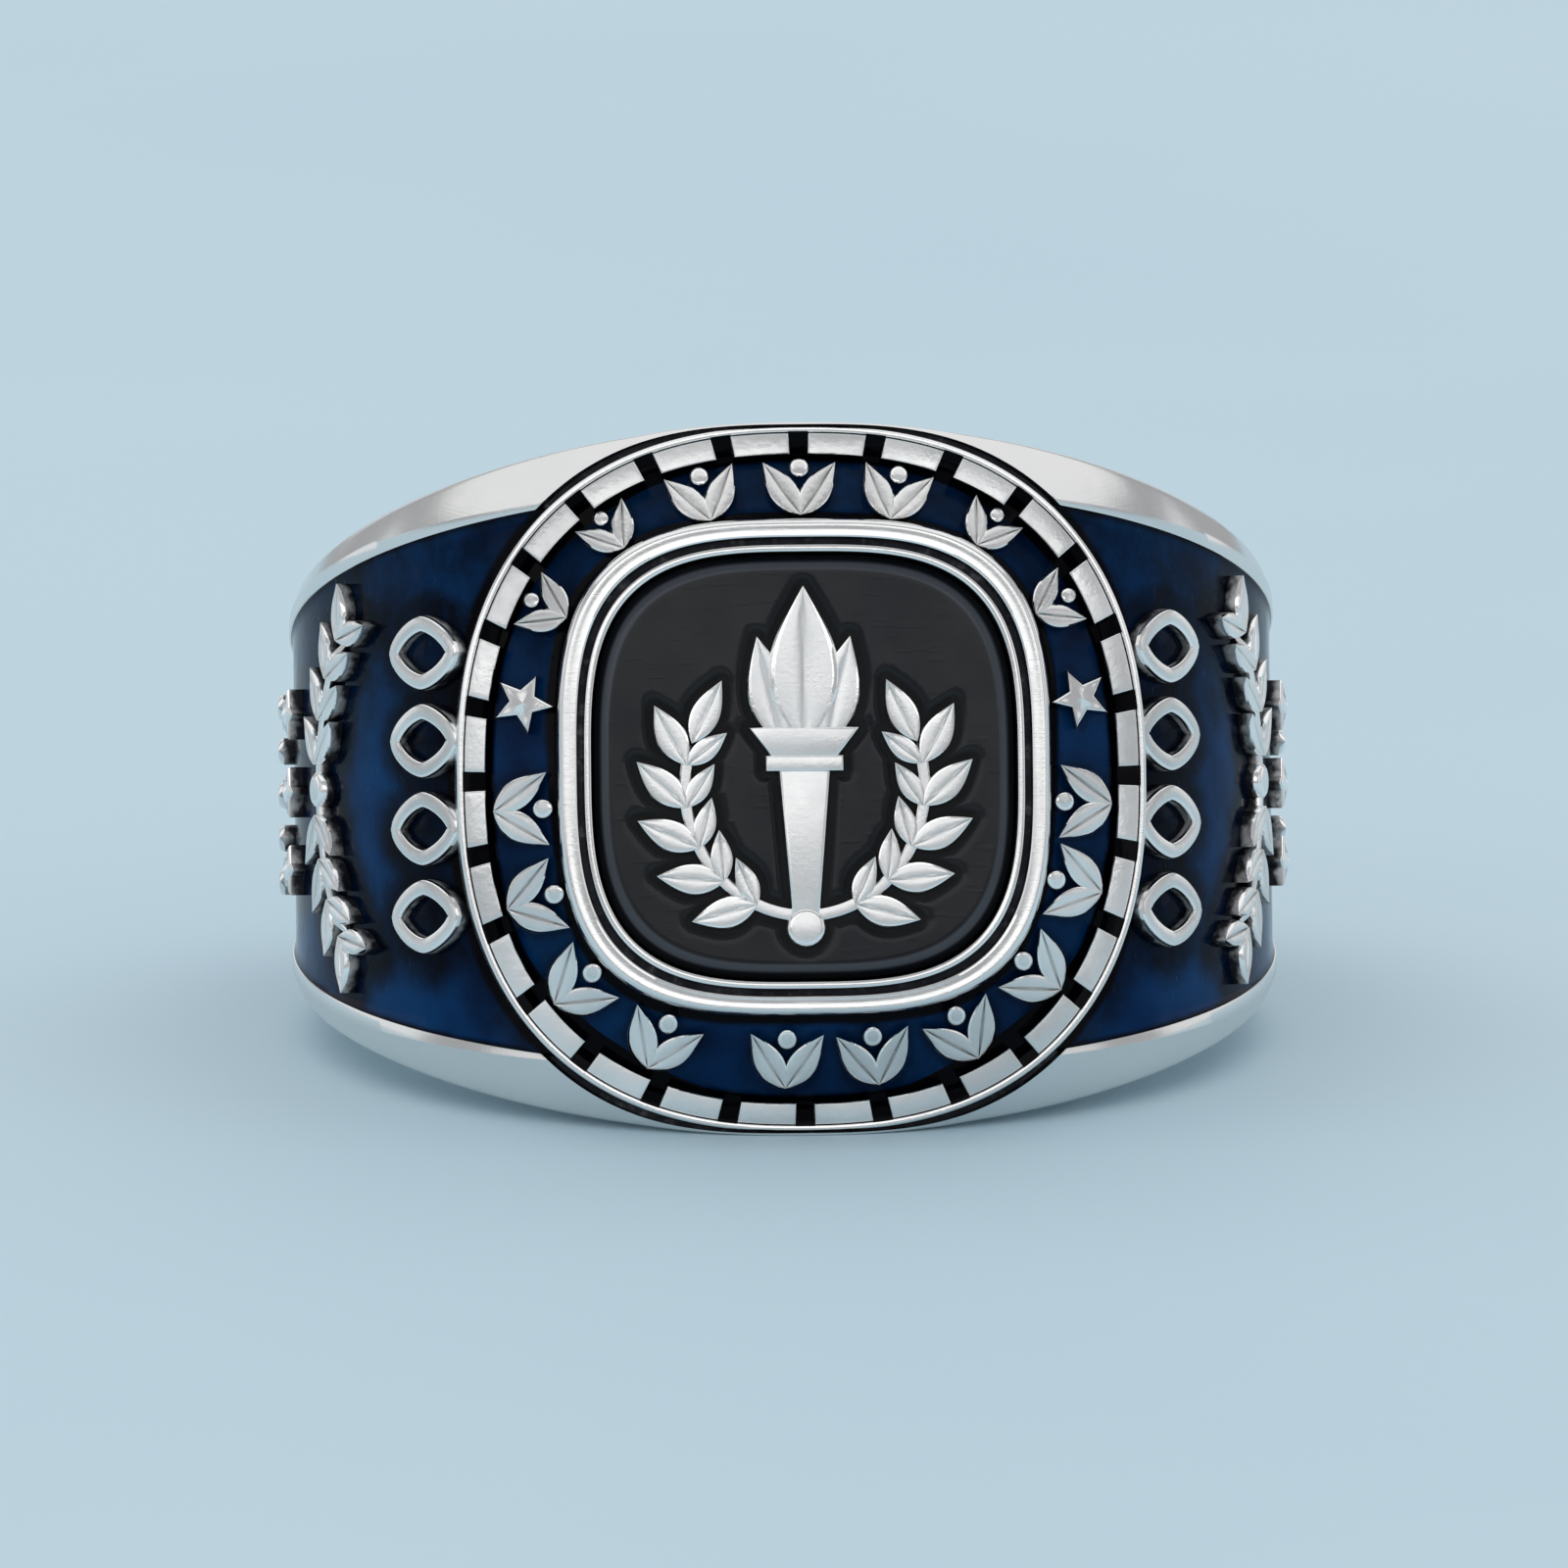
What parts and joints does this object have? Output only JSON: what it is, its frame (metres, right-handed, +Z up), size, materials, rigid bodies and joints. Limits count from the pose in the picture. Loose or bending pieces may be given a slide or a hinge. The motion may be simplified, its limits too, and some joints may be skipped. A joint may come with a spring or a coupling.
{
  "type": "class ring",
  "caption": "Cast silver class ring with enamelled side panels, a notched oval bezel, a cushion frame and a black tablet with an inlaid torch and laurel, lying on its side.",
  "frame": {"origin": "on the floor, under the middle of the bounding box of the lying ring", "axes": "+Z up; +X to the right as seen from the front; -Y towards the viewer, the way the ring's face looks. The finger hole's axis leans back from +Z by the angle at which the ring rests on its side"},
  "size_m": [0.0264, 0.0271, 0.0175],
  "materials": {
    "silver": "polished cast silver with darkened recesses",
    "band_blue": "glossy navy enamel",
    "panel_blue": "glossy navy enamel",
    "black_stone": "polished black onyx",
    "emblem_silver": "flat satin silver inlay with a bright edge"
  },
  "bodies": {
    "root": {"shank": "silver", "band_enamel": "band_blue", "left_enamel": "panel_blue", "right_enamel": "panel_blue", "tablet": "black_stone", "emblem": "emblem_silver"}
  },
  "joints": []
}
